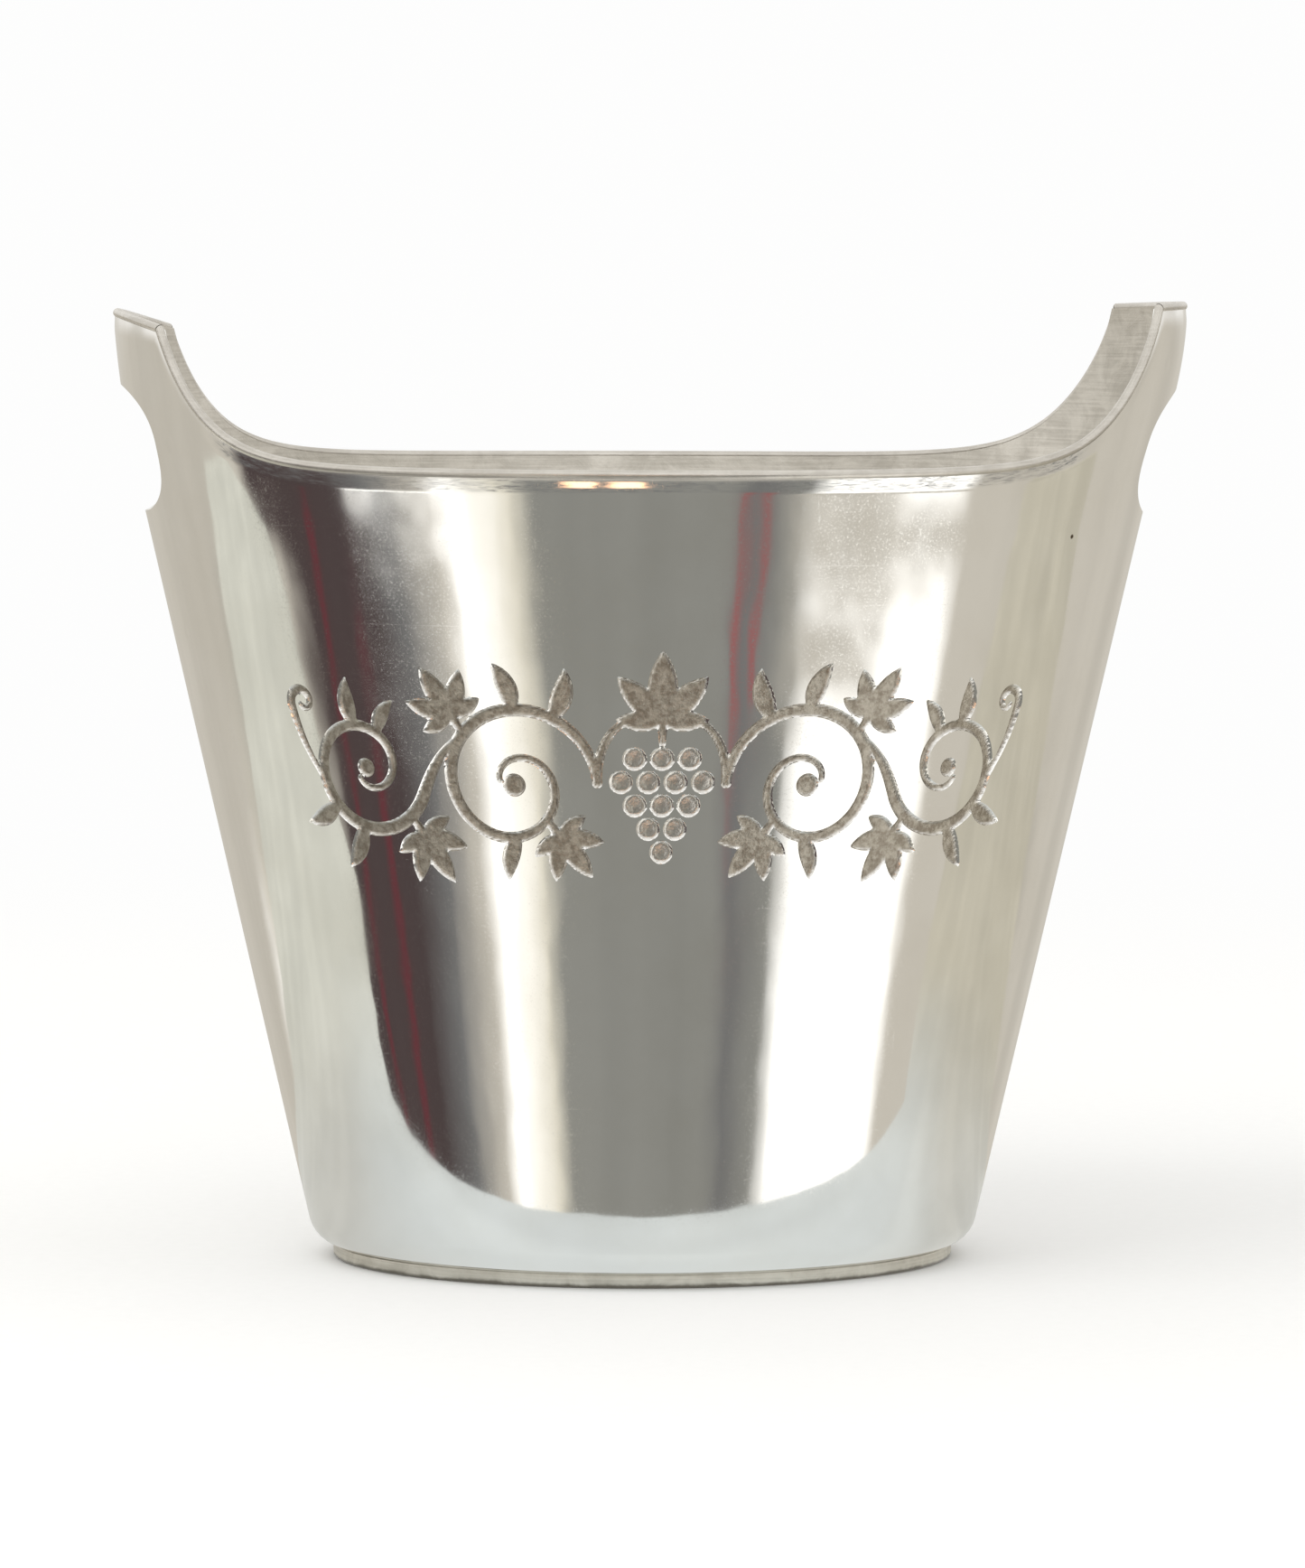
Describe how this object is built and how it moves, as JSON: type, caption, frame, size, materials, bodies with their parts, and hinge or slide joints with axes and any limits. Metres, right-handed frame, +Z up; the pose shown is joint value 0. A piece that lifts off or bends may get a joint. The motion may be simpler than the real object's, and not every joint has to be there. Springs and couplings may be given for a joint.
{
  "type": "oval champagne bucket",
  "caption": "Tapering oval champagne bucket in polished silvered metal, with raised ears, cut-out hand slots, a wired rim, an engraved vine and a low foot.",
  "frame": {"origin": "centre of the foot's resting face, on the table", "axes": "+Z up; the engraved front faces -Y; the two ears stand at -X and +X"},
  "size_m": [0.2962, 0.2284, 0.2654],
  "materials": {
    "polished_wall": "hand-polished silver outside, matte as-cast inside",
    "rim_wire": "polished, lightly worn",
    "matte_floor": "brushed, dull grey",
    "foot": "satin"
  },
  "bodies": {
    "root": {"bucket_wall": "polished_wall", "rim_wire_front": "rim_wire", "rim_wire_back": "rim_wire", "ear_wire_left": "rim_wire", "ear_wire_right": "rim_wire", "floor_plate": "matte_floor", "foot_ring": "foot"}
  },
  "joints": []
}
